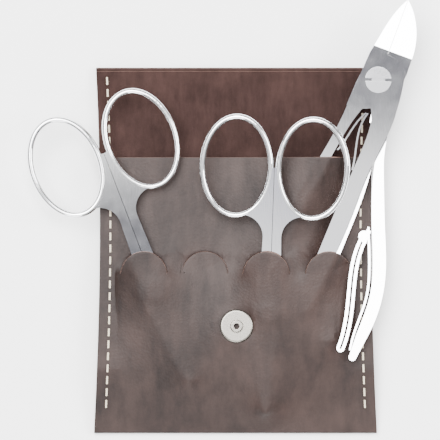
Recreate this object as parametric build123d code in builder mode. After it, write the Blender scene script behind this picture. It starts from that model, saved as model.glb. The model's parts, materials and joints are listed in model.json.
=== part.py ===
"""A manicure set: a leather case with a snap flap, holding two pairs of scissors and two nippers.

Frame, in millimetres: the case lies on its back with its grain side up, +Z up from the table,
+Y towards the fold of the flap and +X to the right. Z is 0 where the case rests.
"""

import copy
import math
import os

from build123d import *

# Leather case -------------------------------------------------------------------------------
LEATHER = 1.1  # thickness of the strip that the whole case is folded from
FOLD_GAP = 0.1  # air left inside a fold, and between leather and what lies against it
CASE_TOP_WIDTH = 84.0
CASE_WAIST_WIDTH = 81.6
CASE_BOTTOM_WIDTH = 85.2
TOP_FOLD_Y = 54.5  # axis of the fold that the flap turns on
BOTTOM_FOLD_Y = -53.4
CORNER_RADIUS = 1.6
MOUTH_Y = 28.6  # straight top edge of the front panel
SLIT_Y = -6.6  # where the four curved slits end
BACK_CREST = 4.75  # top of the back panel where it passes over the snap cap
CREST_FROM_Y = -20.0
CREST_TO_Y = -35.0

TONGUE_RADIUS = 6.9
TONGUE_CENTRES = (-27.5, -9.15, 9.2, 27.9)
SLIT_GAP = 0.15

SEAM_INSET = 3.2  # from the edge of the leather to the line of stitches
SEAM_FLAT = 5.2  # width of the flat, sewn margin
STITCH_PITCH = 3.6
STITCH_LENGTH = 2.3
THREAD_RADIUS = 0.3

# Flap and snap ------------------------------------------------------------------------------
FLAP_LENGTH = 88.0
FLAP_WIDTH = 78.0
FLAP_END_WIDTH = 62.0
FLAP_CORNER = 14.0
FLAP_REACH = 3.4  # what the flap spends on passing over the filled case
FLAP_RISE = 1.6  # how far the socket lifts the flap from the table
SNAP_X = 0.3
SNAP_Y = -22.0
SNAP_RADIUS = 5.0
SNAP_FLAT = 5.0  # half the side of the level patch of leather under the snap
SNAP_LEVEL = 8.9  # its underside above the table
SNAP_THICKNESS = 0.9
STUD_RADIUS = 1.9
STUD_HEIGHT = 1.1
STUD_HOLE_RADIUS = 0.9
SOCKET_PLATE = 0.3
POST_RADIUS = 1.3
POST_WASHER_RADIUS = 3.2
POST_WASHER_THICKNESS = 0.4
CAP_RADIUS = 5.6
CAP_HEIGHT = 0.8
SOCKET_RADIUS = 4.8
SOCKET_HEIGHT = 1.5
SOCKET_BORE_RADIUS = 2.5
SPRING_WIRE_RADIUS = 0.25
SEAT_CLEARANCE = 0.03

# Scissors -----------------------------------------------------------------------------------
RING_RADIUS_X = 10.2  # centreline of the finger ring
RING_RADIUS_Y = 14.8
RING_WIRE_WIDTH = 1.9
RING_WIRE_HEIGHT = 2.4
RING_HEIGHT = 43.5  # from the pivot to the middle of the rings
SHANK_THICKNESS = 2.2
SHANK_WIDTH = 2.75
SHANK_ROOT_WIDTH = 3.3
LAP_RADIUS = 4.4
LAP_GAP = 0.03
PARTING_GAP = 0.08
BLADE_LENGTH = 29.6
BLADE_WIDTH = 3.3
PIVOT_RADIUS = 1.3
PIVOT_CLEARANCE = 0.05
PIVOT_HEAD_RADIUS = 2.2
PIVOT_HEAD_HEIGHT = 0.45

# Nail nipper --------------------------------------------------------------------------------
NIPPER_LENGTH = 25.3  # joint to the tip of the jaws
NIPPER_THICKNESS = 6.0
NIPPER_LAP_RADIUS = 8.2
NIPPER_SCREW_RADIUS = 3.9
NIPPER_SHAFT_RADIUS = 2.0
NIPPER_SLOT_WIDTH = 0.9
NIPPER_SLOT_DEPTH = 0.6
NIPPER_SLOT_TURN = 19.0
FRONT_HANDLE_THICKNESS = 2.6
BACK_HANDLE_THICKNESS = 2.2
GRIP_START = -25.0
GRIP_PITCH = 1.0
GRIP_GROOVES = 24
GRIP_GROOVE_WIDTH = 0.45
GRIP_GROOVE_DEPTH = 0.25
NIPPER_SPRING_THICKNESS = 0.5
NIPPER_SPRING_WIDTH = 2.0

# Cuticle nipper -----------------------------------------------------------------------------
CUTICLE_LENGTH = 20.0
CUTICLE_THICKNESS = 4.4
CUTICLE_LAP_RADIUS = 5.2
CUTICLE_HANDLE_THICKNESS = 2.4
CUTICLE_SHAFT_RADIUS = 1.3
CUTICLE_SCREW_RADIUS = 2.4
CUTICLE_SCREW_HEIGHT = 0.3
CLASP_STRIP_WIDTH = 1.8
CLASP_BOSS = (1.0, -38.9)
CLASP_BOSS_RADIUS = 1.6
CLASP_RIVET_RADIUS = 0.55
CLASP_RIVET_HEAD_RADIUS = 0.95
CLASP_RIVET_HEAD_HEIGHT = 0.3
CLASP_WIRE_RADIUS = 0.45
CLASP_WIRE_SPACING = 1.5
CLASP_EYE_RADIUS = 1.45
CLASP_EYE_THICKNESS = 0.5


def tool_plane(pivot, tilt, pitch, roll=0.0):
    """Plane of a tool: origin at its pivot, Y along it, away from its points or handle ends."""
    t, p, r = (math.radians(angle) for angle in (tilt, pitch, roll))
    along = Vector(math.sin(t) * math.cos(p), math.cos(t) * math.cos(p), math.sin(p))
    flat_across = Vector(math.cos(t), -math.sin(t), 0)
    across = flat_across * math.cos(r) + flat_across.cross(along) * math.sin(r)
    return Plane(origin=pivot, x_dir=across, z_dir=across.cross(along))


LEFT_SCISSORS = tool_plane((-24.0, -10.8, 7.2), tilt=-20.85, pitch=2.4)
CENTRE_SCISSORS = tool_plane((10.2, -17.7, 9.0), tilt=1.9, pitch=7.0, roll=4.0)
NAIL_NIPPER = tool_plane((42.6, 51.75, 12.75), tilt=20.5, pitch=3.95)
CUTICLE_NIPPER = tool_plane((44.55, 43.35, 6.15), tilt=10.4, pitch=-1.4, roll=3.0)

# Level lines of the leather -------------------------------------------------------------------


def between(value, stops):
    """Height at a place, on straight lines between the stops, which are (place, height)."""
    stops = sorted(stops)
    if value <= stops[0][0]:
        return stops[0][1]
    for (low, start), (high, end) in zip(stops, stops[1:]):
        if value <= high:
            return start + (end - start) * (value - low) / (high - low)
    return stops[-1][1]


FOLD_TOP = 2 * LEATHER + 2 * FOLD_GAP
BACK_STOPS = [
    (BOTTOM_FOLD_Y, LEATHER),
    (CREST_TO_Y, BACK_CREST),
    (CREST_FROM_Y, BACK_CREST),
    (TOP_FOLD_Y, FOLD_TOP),
]


def back_top(y):
    """Top of the back panel above the table."""
    return between(y, BACK_STOPS)


SEAM_X = CASE_WAIST_WIDTH / 2 - SEAM_FLAT


def ridge(x, y, line, half_width, slope):
    """Height of leather that hangs over a tool whose top runs along the line of (x, y, z) points."""
    ys = [(point[1], point) for point in line]
    if y > max(ys)[0] or y < min(ys)[0]:
        return 0.0
    centre = between(y, [(point[1], point[0]) for point in line])
    top = between(y, [(point[1], point[2]) for point in line])
    return top - slope * max(0.0, abs(x - centre) - half_width)


BACK_HANDLE_RIDGE = ((27.9, 30.6, 10.8), (19.3, 15.6, 9.7), (14.2, 3.7, 8.5), (10.6, -8.7, 7.6))


def upper_underside(x, y):
    """Underside of the front panel above the slits, raised on the right by the nipper handle."""
    sewn = back_top(y) + FOLD_GAP
    if abs(x) >= SEAM_X:
        return sewn
    fullness = between(x, [(-SEAM_X, 0.0), (-28.0, 0.6), (-2.0, 1.4), (22.0, 1.2), (27.0, 0.0)])
    return max(sewn + fullness, ridge(x, y, BACK_HANDLE_RIDGE, 3.8, 1.2))


LEFT_RIDGE = (
    (-28.3, 1.0, 10.1), (-24.0, -10.8, 9.7), (-17.5, -28.0, 8.4), (-13.6, -38.5, 7.9), (-12.0, -47.0, 4.5),
)
CENTRE_RIDGE = (
    (10.8, 1.0, 13.1), (10.2, -17.7, 11.2), (9.8, -33.0, 9.2), (9.2, -48.0, 6.9), (9.2, -51.0, 4.0),
)
FRONT_HANDLE_RIDGE = ((27.9, 1.0, 12.7), (20.6, -13.0, 11.6), (18.5, -22.5, 10.6), (17.0, -36.0, 6.6))
INNER_HANDLE_RIDGE = (
    (30.8, 1.0, 8.9), (27.7, -8.0, 9.0), (26.2, -17.0, 9.1), (26.7, -29.0, 9.2), (27.0, -42.0, 6.0),
)


def lower_underside(x, y):
    """Underside of the front panel below the slits, where it hangs over the tools."""
    sewn = back_top(y) + FOLD_GAP
    fullness = between(y, [(BOTTOM_FOLD_Y, 0.0), (-44.0, 0.55), (-30.0, 1.0), (-14.0, 1.0), (SLIT_Y, 0.0)])
    level = between(x, [(-SEAM_X, 0.0), (-26.0, 2.0), (-6.0, 3.4), (22.0, 3.6), (30.0, 2.4), (SEAM_X, 0.0)])
    start = upper_underside(x, SLIT_Y) - back_top(SLIT_Y) - FOLD_GAP
    fade = between(y, [(-22.0, 0.0), (SLIT_Y, 1.0)])
    base = sewn + max(fullness * level, fade * start)
    if abs(x) >= SEAM_X:
        return sewn
    if abs(x - SNAP_X) <= SNAP_FLAT + SEAT_CLEARANCE and abs(y - SNAP_Y) <= SNAP_FLAT + SEAT_CLEARANCE:
        return SNAP_LEVEL
    return max(
        base,
        ridge(x, y, LEFT_RIDGE, 3.9, 1.0),
        ridge(x, y, CENTRE_RIDGE, 4.2, 1.2),
        ridge(x, y, FRONT_HANDLE_RIDGE, 3.9, 1.2),
        ridge(x, y, INNER_HANDLE_RIDGE, 2.2, 2.2),
    )


CASE_REACH = CASE_BOTTOM_WIDTH / 2 + 2
GRID_STEP = 3.0


def grid_places(low, high, extra=()):
    """Places across the case where the height of the leather is taken."""
    count = max(1, round((high - low) / GRID_STEP))
    even = [low + (high - low) * i / count for i in range(count + 1)]
    kept = [x for x in even if all(abs(x - e) > GRID_STEP / 3 for e in extra)]
    return sorted(kept + list(extra))


def leather_sheet(places, stations, underside):
    """Leather in flat facets between the places across the case and the stations along it."""

    def flat_face(corners):
        return Face(Wire.make_polygon([Vector(*corner) for corner in corners], close=True))

    def edge_wall(row):
        below = [(x, y, underside(x, y)) for x, y in row]
        above = [(x, y, z + LEATHER) for x, y, z in below]
        return [
            flat_face((below[i], below[i + 1], above[i + 1], above[i])) for i in range(len(row) - 1)
        ]

    faces = []
    for near, far in zip(stations, stations[1:]):
        for left, right in zip(places, places[1:]):
            for lift in (0, LEATHER):
                corners = [
                    (x, y, underside(x, y) + lift)
                    for x, y in ((left, near), (right, near), (right, far), (left, far))
                ]
                faces += [flat_face(corners[:3]), flat_face((corners[0], *corners[2:]))]
    for x in (places[0], places[-1]):
        faces += edge_wall([(x, y) for y in stations])
    for y in (stations[0], stations[-1]):
        faces += edge_wall([(x, y) for x in places])
    with BuildPart() as sheet:
        add(Solid(Shell(faces)))
    return sheet.part


WAIST_Y = 8.0  # where the case is narrowest
CASE_END_Y = BOTTOM_FOLD_Y - LEATHER - FOLD_GAP
SHEET_REACH = 30.0  # taller than any sheet of the case stands above the table

# A block of the outline of the case from above, a little narrower at its waist, that trims the panels
with BuildPart() as case_block:
    with BuildSketch() as case_outline:
        with BuildLine():
            left_edge = ThreePointArc(
                (-CASE_TOP_WIDTH / 2, TOP_FOLD_Y),
                (-CASE_WAIST_WIDTH / 2, WAIST_Y),
                (-CASE_BOTTOM_WIDTH / 2, CASE_END_Y),
            )
            Line(left_edge @ 1, (CASE_BOTTOM_WIDTH / 2, CASE_END_Y))
            mirror(left_edge, about=Plane.YZ)
            Line((CASE_TOP_WIDTH / 2, TOP_FOLD_Y), left_edge @ 0)
        make_face()
        fillet(case_outline.vertices().group_by(Axis.Y)[0], CORNER_RADIUS)
    extrude(amount=SHEET_REACH, both=True)


# Back panel, with the fold at the bottom of the case --------------------------------------------

FOLD_RADIUS = LEATHER + FOLD_GAP / 2

with BuildPart() as back_panel:
    with BuildSketch(Plane.YZ.offset(-CASE_REACH)):
        with BuildLine():
            Polyline(
                *[(y, z) for y, z in BACK_STOPS],
                *[(y, z - LEATHER) for y, z in reversed(BACK_STOPS)],
                close=True,
            )
        make_face()
        with Locations((BOTTOM_FOLD_Y, FOLD_RADIUS)):
            Circle(FOLD_RADIUS)
            Circle(FOLD_GAP / 2, mode=Mode.SUBTRACT)
        with Locations((BOTTOM_FOLD_Y, FOLD_RADIUS + LEATHER / 2)):
            Rectangle(4 * LEATHER, LEATHER + FOLD_GAP, align=(Align.MIN, Align.CENTER), mode=Mode.SUBTRACT)
    extrude(amount=2 * CASE_REACH)
    add(case_block.part, mode=Mode.INTERSECT)
back_panel.part.label = "back_panel"

# Front panel, with four tongues between curved slits ----------------------------------------------

slit_ends = [centre + side * TONGUE_RADIUS for centre in TONGUE_CENTRES for side in (-1, 1)]
snap_sides = (SNAP_X - SNAP_FLAT, SNAP_X + SNAP_FLAT, SNAP_X + SNAP_FLAT + 0.8)
TURN_DOWN = (28.8, 29.8)  # where the leather drops beside the inner handle
sheet_places = grid_places(-CASE_REACH, CASE_REACH, (-SEAM_X, *slit_ends, *snap_sides, *TURN_DOWN, SEAM_X))
upper_stations = (SLIT_Y, 2.0, 10.0, 20.0, MOUTH_Y)
lower_stations = (
    SLIT_Y, -10.5, SNAP_Y + SNAP_FLAT, SNAP_Y, SNAP_Y - SNAP_FLAT, -35.0, -42.0, -48.0, BOTTOM_FOLD_Y,
)


def tongue_piece(centre):
    """One tongue: the leather over the mouth of a slit, cut to the half circle of the slit."""
    places = [x for x in sheet_places if abs(x - centre) <= TONGUE_RADIUS + SEAT_CLEARANCE]
    with BuildPart() as tongue:
        add(leather_sheet(places, (SLIT_Y, SLIT_Y + TONGUE_RADIUS + 0.4), lower_underside))
        with BuildSketch():
            with Locations((centre, SLIT_Y)):
                Circle(TONGUE_RADIUS)
        extrude(amount=SHEET_REACH, mode=Mode.INTERSECT)
    return tongue.part


with BuildPart() as upper_panel:
    add(leather_sheet(sheet_places, upper_stations, upper_underside))
    with BuildSketch():
        with Locations(*[(centre, SLIT_Y) for centre in TONGUE_CENTRES]):
            Circle(TONGUE_RADIUS + SLIT_GAP)
    extrude(amount=SHEET_REACH, mode=Mode.SUBTRACT)

with BuildPart() as front_panel:
    add(leather_sheet(sheet_places, lower_stations, lower_underside))
    add(upper_panel.part)
    for centre in TONGUE_CENTRES:
        add(tongue_piece(centre))
    add(case_block.part, mode=Mode.INTERSECT)
    with BuildSketch():
        with Locations((SNAP_X, SNAP_Y)):
            Circle(POST_RADIUS + SEAT_CLEARANCE)
    extrude(amount=SHEET_REACH, mode=Mode.SUBTRACT)
front_panel.part.label = "front_panel"

# Roll of leather between the back panel and the flap ---------------------------------------------

ROLL_CENTRE_Z = LEATHER + FOLD_GAP

with BuildPart() as top_fold:
    with BuildSketch(Plane.YZ.offset(-CASE_TOP_WIDTH / 2)):
        with Locations((TOP_FOLD_Y, ROLL_CENTRE_Z)):
            Circle(ROLL_CENTRE_Z)
            Circle(FOLD_GAP, mode=Mode.SUBTRACT)
            Rectangle(4 * LEATHER, 4 * LEATHER, align=(Align.MAX, Align.CENTER), mode=Mode.SUBTRACT)
    extrude(amount=CASE_TOP_WIDTH)
top_fold.part.label = "top_fold"

# Flap, folded under the case, and its half of the snap ---------------------------------------------

FLAP_SNAP = TOP_FOLD_Y - SNAP_Y + FLAP_REACH
flap_slope = math.atan2(FLAP_RISE, FLAP_SNAP)
# X is as in the case, Y runs down the flap from the fold and Z points to the table
flap_face = Plane(
    origin=(0, TOP_FOLD_Y, 0),
    x_dir=(1, 0, 0),
    z_dir=(0, -math.sin(flap_slope), -math.cos(flap_slope)),
)
flap_snap_face = Plane(
    origin=flap_face.from_local_coords(Vector(SNAP_X, FLAP_SNAP, 0)),
    x_dir=flap_face.x_dir,
    z_dir=flap_face.z_dir,
)

with BuildPart() as flap_leather:
    with BuildSketch(flap_face) as flap_shape:
        with BuildLine():
            Polyline(
                (-FLAP_WIDTH / 2, FOLD_GAP),
                (FLAP_WIDTH / 2, FOLD_GAP),
                (FLAP_END_WIDTH / 2, FLAP_LENGTH),
                (-FLAP_END_WIDTH / 2, FLAP_LENGTH),
                close=True,
            )
        make_face()
        fillet(flap_shape.vertices().group_by(Axis.Y)[-1], FLAP_CORNER)
    extrude(amount=-LEATHER)
    with BuildSketch(flap_snap_face):
        Circle(POST_RADIUS + SEAT_CLEARANCE)
    extrude(amount=-LEATHER, mode=Mode.SUBTRACT)
flap_leather.part.label = "flap_leather"

with BuildPart() as snap_cap:
    with BuildSketch(flap_snap_face.offset(-LEATHER)):
        Circle(CAP_RADIUS)
    extrude(amount=-CAP_HEIGHT)
    fillet(snap_cap.edges().sort_by(Axis.Z)[-1], CAP_HEIGHT * 0.75)
    with BuildSketch(flap_snap_face.offset(-LEATHER)):
        Circle(POST_RADIUS)
    extrude(amount=LEATHER + SOCKET_PLATE)
snap_cap.part.label = "snap_cap"

with BuildPart() as snap_socket:
    with BuildSketch(flap_snap_face):
        Circle(SOCKET_RADIUS)
        Circle(POST_RADIUS + SEAT_CLEARANCE, mode=Mode.SUBTRACT)
    extrude(amount=SOCKET_PLATE)
    with BuildSketch(flap_snap_face.offset(SOCKET_PLATE)):
        Circle(SOCKET_RADIUS)
        Circle(SOCKET_BORE_RADIUS, mode=Mode.SUBTRACT)
    extrude(amount=SOCKET_HEIGHT - SOCKET_PLATE)
    rim = snap_socket.edges().filter_by(GeomType.CIRCLE).sort_by(Axis.Z)[:2]
    fillet(rim.sort_by(SortBy.RADIUS)[-1], SOCKET_HEIGHT * 0.35)
snap_socket.part.label = "snap_socket"

with BuildPart() as socket_spring:
    spring_level = flap_snap_face.offset((SOCKET_PLATE + SOCKET_HEIGHT) / 2)
    spring_ring = SOCKET_BORE_RADIUS - SPRING_WIRE_RADIUS - SEAT_CLEARANCE
    with BuildLine(spring_level) as spring_line:
        CenterArc((0, 0), spring_ring, 10, 320)
    with BuildSketch(Plane(origin=spring_line.line @ 0, z_dir=spring_line.line % 0)):
        Circle(SPRING_WIRE_RADIUS)
    sweep()
socket_spring.part.label = "socket_spring"

# Snap stud on the front panel ----------------------------------------------------------------------

stud_seat = Plane.XY.offset(SNAP_LEVEL + LEATHER).shift_origin((SNAP_X, SNAP_Y, SNAP_LEVEL + LEATHER))

with BuildPart() as snap_stud:
    with BuildSketch(stud_seat):
        Circle(SNAP_RADIUS)
    extrude(amount=SNAP_THICKNESS)
    outer_edge = snap_stud.edges().filter_by(GeomType.CIRCLE).sort_by(Axis.Z)[-1]
    fillet(outer_edge, SNAP_THICKNESS * 0.7)
    with BuildSketch(stud_seat):
        Circle(STUD_RADIUS)
    extrude(amount=SNAP_THICKNESS + STUD_HEIGHT)
    stud_edge = snap_stud.edges().filter_by(GeomType.CIRCLE).sort_by(Axis.Z)[-1]
    fillet(stud_edge, STUD_HEIGHT * 0.3)
    with BuildSketch(stud_seat):
        Circle(POST_RADIUS + SEAT_CLEARANCE)
    extrude(amount=SNAP_THICKNESS + STUD_HEIGHT, mode=Mode.SUBTRACT)
snap_stud.part.label = "snap_stud"

with BuildPart() as snap_post:
    with BuildSketch(stud_seat.offset(-LEATHER - POST_WASHER_THICKNESS)):
        Circle(POST_WASHER_RADIUS)
    extrude(amount=POST_WASHER_THICKNESS)
    with BuildSketch(stud_seat.offset(-LEATHER)):
        Circle(POST_RADIUS)
        Circle(STUD_HOLE_RADIUS, mode=Mode.SUBTRACT)
    extrude(amount=LEATHER + SNAP_THICKNESS + STUD_HEIGHT)
snap_post.part.label = "snap_post"

# Seam threads: a row of stitches down each side -----------------------------------------------------


def seam_x(y):
    """Distance of the stitches from the middle of the case."""
    if y > WAIST_Y:
        swell = (CASE_TOP_WIDTH - CASE_WAIST_WIDTH) / 2 * ((y - WAIST_Y) / (TOP_FOLD_Y - WAIST_Y)) ** 2
    else:
        swell = (CASE_BOTTOM_WIDTH - CASE_WAIST_WIDTH) / 2 * ((WAIST_Y - y) / (WAIST_Y - CASE_END_Y)) ** 2
    return CASE_WAIST_WIDTH / 2 + swell - SEAM_INSET


def seam_top(y):
    """Top of the leather that a stitch lies on."""
    return back_top(y) + (LEATHER + FOLD_GAP if y < MOUTH_Y else 0.0)


def seam_thread(side, label):
    """The stitches of one side seam, each a rounded length of thread on the leather."""
    count = int((TOP_FOLD_Y - BOTTOM_FOLD_Y - 2 * STITCH_PITCH) / STITCH_PITCH) + 1
    with BuildPart() as thread:
        for number in range(count):
            y = TOP_FOLD_Y - STITCH_PITCH * (number + 0.8)
            front, back = y + STITCH_LENGTH / 2, y - STITCH_LENGTH / 2
            if front > MOUTH_Y > back:
                continue
            lift = THREAD_RADIUS + FOLD_GAP / 4
            start = Vector(side * seam_x(front), front, seam_top(front) + lift)
            end = Vector(side * seam_x(back), back, seam_top(back) + lift)
            middle_sag = seam_top(y) + lift - (start.Z + end.Z) / 2
            raise_by = Vector(0, 0, max(0.0, middle_sag))
            with BuildSketch(Plane(origin=start + raise_by, z_dir=end - start)):
                RegularPolygon(THREAD_RADIUS, 6)
            extrude(amount=(end - start).length)
    thread.part.label = label
    return thread.part


left_seam_thread = seam_thread(-1, "left_seam_thread")
right_seam_thread = seam_thread(1, "right_seam_thread")

# Scissors ------------------------------------------------------------------------------------------


def on_plane(plane, x, y, z=0.0):
    """A level plane of a tool, moved to a place on it."""
    return Plane(origin=plane.from_local_coords(Vector(x, y, z)), x_dir=plane.x_dir, z_dir=plane.z_dir)


def scissor_half(tool, ring_side, level, ring_offset, label):
    """One half of a pair of scissors: finger ring, shank, half of the lap joint and blade.

    ring_side is -1 for the left ring and 1 for the right one, level -1 for the lower blade.
    """
    s = ring_side
    half_lap = SHANK_THICKNESS / 2
    with BuildPart() as half:
        with BuildLine(tool) as ring_line:
            EllipticalCenterArc(
                (s * ring_offset, RING_HEIGHT), RING_RADIUS_X, RING_RADIUS_Y, 90 - s * 90, arc_size=360
            )
        with BuildSketch(Plane(origin=ring_line.line @ 0, x_dir=tool.x_dir, z_dir=tool.y_dir)):
            Ellipse(RING_WIRE_WIDTH / 2, RING_WIRE_HEIGHT / 2)
        sweep()
        web_x, web_y = s * ring_offset * 0.74, RING_HEIGHT - RING_RADIUS_Y * 0.98
        with BuildSketch(tool.offset(-half_lap)):
            with BuildLine():
                Polyline(
                    (web_x, web_y),
                    (s * ring_offset, RING_HEIGHT - RING_RADIUS_Y),
                    (s * ring_offset, RING_HEIGHT),
                    (s * PARTING_GAP, RING_HEIGHT),
                    (s * PARTING_GAP, 0),
                    (s * SHANK_ROOT_WIDTH, 0),
                    (s * SHANK_ROOT_WIDTH, LAP_RADIUS),
                    (s * SHANK_WIDTH, RING_HEIGHT - RING_RADIUS_Y - 6.5),
                )
                ThreePointArc(
                    (s * SHANK_WIDTH, RING_HEIGHT - RING_RADIUS_Y - 6.5),
                    (s * (SHANK_WIDTH + 1.6), RING_HEIGHT - RING_RADIUS_Y - 1.9),
                    (web_x, web_y),
                )
            make_face()
            with Locations((s * ring_offset, RING_HEIGHT)):
                Ellipse(RING_RADIUS_X, RING_RADIUS_Y, mode=Mode.SUBTRACT)
        extrude(amount=SHANK_THICKNESS)
        with BuildSketch(tool if level < 0 else tool.offset(-half_lap)):
            Circle(LAP_RADIUS + PARTING_GAP)
        extrude(amount=half_lap, mode=Mode.SUBTRACT)
        with BuildSketch(tool.offset(-half_lap if level < 0 else LAP_GAP / 2)):
            Circle(LAP_RADIUS)
            with BuildLine():
                Spline(
                    (-s * 3.9, -2.0), (-s * BLADE_WIDTH, -7.0), (-s * 2.1, -19.0), (-s * 0.3, -BLADE_LENGTH)
                )
                Polyline(
                    (-s * 0.3, -BLADE_LENGTH), (s * 0.4, 0.4 - BLADE_LENGTH), (s * 1.3, -16.0),
                    (s * 3.6, -2.0),
                )
                Line((s * 3.6, -2.0), (-s * 3.9, -2.0))
            make_face()
        extrude(amount=half_lap - LAP_GAP / 2)
        with BuildSketch(tool.offset(-half_lap)):
            Circle(PIVOT_RADIUS + PIVOT_CLEARANCE)
        extrude(amount=SHANK_THICKNESS, mode=Mode.SUBTRACT)
    half.part.label = label
    return half.part


def pivot_screw(tool, thickness, shaft_radius, head_radius, head_height, label):
    """Screw through a lap joint, with a head on top and a riveted end below."""
    with BuildPart() as screw:
        with BuildSketch(tool.offset(-thickness / 2 - head_height)):
            Circle(head_radius * 0.85)
        extrude(amount=head_height)
        with BuildSketch(tool.offset(-thickness / 2)):
            Circle(shaft_radius)
        extrude(amount=thickness)
        with BuildSketch(tool.offset(thickness / 2)):
            Circle(head_radius)
        extrude(amount=head_height)
    screw.part.label = label
    return screw.part


tools = []
for name, plane, ring_offset in (
    ("left_scissors", LEFT_SCISSORS, 12.0),
    ("centre_scissors", CENTRE_SCISSORS, 11.4),
):
    tools += [
        scissor_half(plane, -1, -1, ring_offset, f"{name}_left_half"),
        scissor_half(plane, 1, 1, ring_offset, f"{name}_right_half"),
        pivot_screw(
            plane, SHANK_THICKNESS, PIVOT_RADIUS, PIVOT_HEAD_RADIUS, PIVOT_HEAD_HEIGHT, f"{name}_screw"
        ),
    ]

# Nail nipper ---------------------------------------------------------------------------------------

nail_half = NIPPER_THICKNESS / 2


SIDE_REACH = 20.0  # how far to each side of a tool its side profiles cut


def side_plane(tool):
    """A plane beside a tool, drawn on from its side: x along the tool, y up."""
    return Plane(origin=on_plane(tool, -SIDE_REACH, 0).origin, x_dir=tool.y_dir, z_dir=tool.x_dir)


def jaw_taper():
    """What the grinding leaves of the jaws, seen from the side, to cut both halves to."""
    ground_y, edge_y = NIPPER_LAP_RADIUS + 1.0, 18.2
    with BuildPart() as ground:
        with BuildSketch(side_plane(NAIL_NIPPER)):
            with BuildLine():
                upper = [(-90.0, nail_half), (ground_y, nail_half), (edge_y, 2.0), (NIPPER_LENGTH + 1, 0.5)]
                Polyline(*upper, *[(y, -z) for y, z in reversed(upper)], close=True)
            make_face()
        extrude(amount=40.0)
    return ground.part


nipper_profile = jaw_taper()

with BuildPart() as nail_nipper_front:
    with BuildSketch(NAIL_NIPPER.offset(-nail_half)):
        with BuildLine():
            Spline((-PARTING_GAP, NIPPER_LENGTH), (-1.5, 22.5), (-3.4, 16.4), (-4.4, 11.0), (-5.2, 7.0))
            Line((-5.2, 7.0), (-PARTING_GAP, 7.0))
            Line((-PARTING_GAP, 7.0), (-PARTING_GAP, NIPPER_LENGTH))
        make_face()
    extrude(amount=NIPPER_THICKNESS)
    with BuildSketch(NAIL_NIPPER.offset(-nail_half)):
        Circle(NIPPER_LAP_RADIUS + PARTING_GAP)
    extrude(amount=nail_half, mode=Mode.SUBTRACT)
    with BuildSketch(NAIL_NIPPER.offset(LAP_GAP / 2)):
        with BuildLine():
            Polyline((-5.2, 7.0), (-5.6, 0.0), (-5.9, -6.1))
            ThreePointArc((-5.9, -6.1), (-3.0, -8.0), (0.9, -8.7))
            Line((0.9, -8.7), (2.4, -12.0))
            Line((2.4, -12.0), (8.5, -10.0))
            Spline((8.5, -10.0), (8.0, -2.0), (7.1, 3.4))
            ThreePointArc((7.1, 3.4), (4.6, 6.5), (-0.5, 7.87))
            Line((-0.5, 7.87), (-5.2, 7.0))
        make_face()
    extrude(amount=nail_half - LAP_GAP / 2)
    with BuildSketch(NAIL_NIPPER.offset(LAP_GAP / 2)):
        with BuildLine():
            Spline(
                (8.3, -6.0), (8.6, -12.2), (7.8, -20.0), (7.1, -26.0), (6.9, -40.0), (6.1, -56.0),
                (4.4, -70.0),
            )
            ThreePointArc((4.4, -70.0), (2.2, -72.4), (0.6, -70.0))
            Spline((0.6, -70.0), (1.3, -56.0), (1.7, -44.0), (2.5, -27.0), (2.8, -17.2), (1.0, -6.0))
            Line((1.0, -6.0), (8.3, -6.0))
        make_face()
    extrude(amount=FRONT_HANDLE_THICKNESS)
    add(nipper_profile, mode=Mode.INTERSECT)
    grip_top = FRONT_HANDLE_THICKNESS + LAP_GAP / 2
    with BuildSketch(on_plane(NAIL_NIPPER, 4.5, GRIP_START - GRIP_GROOVES * GRIP_PITCH / 2, grip_top)):
        with GridLocations(1, GRIP_PITCH, 1, GRIP_GROOVES):
            Rectangle(10.0, GRIP_GROOVE_WIDTH)
    extrude(amount=-GRIP_GROOVE_DEPTH, mode=Mode.SUBTRACT)
    with BuildSketch(NAIL_NIPPER.offset(-nail_half)):
        Circle(NIPPER_SHAFT_RADIUS + PIVOT_CLEARANCE)
    extrude(amount=NIPPER_THICKNESS, mode=Mode.SUBTRACT)
nail_nipper_front.part.label = "nail_nipper_front_half"

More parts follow.
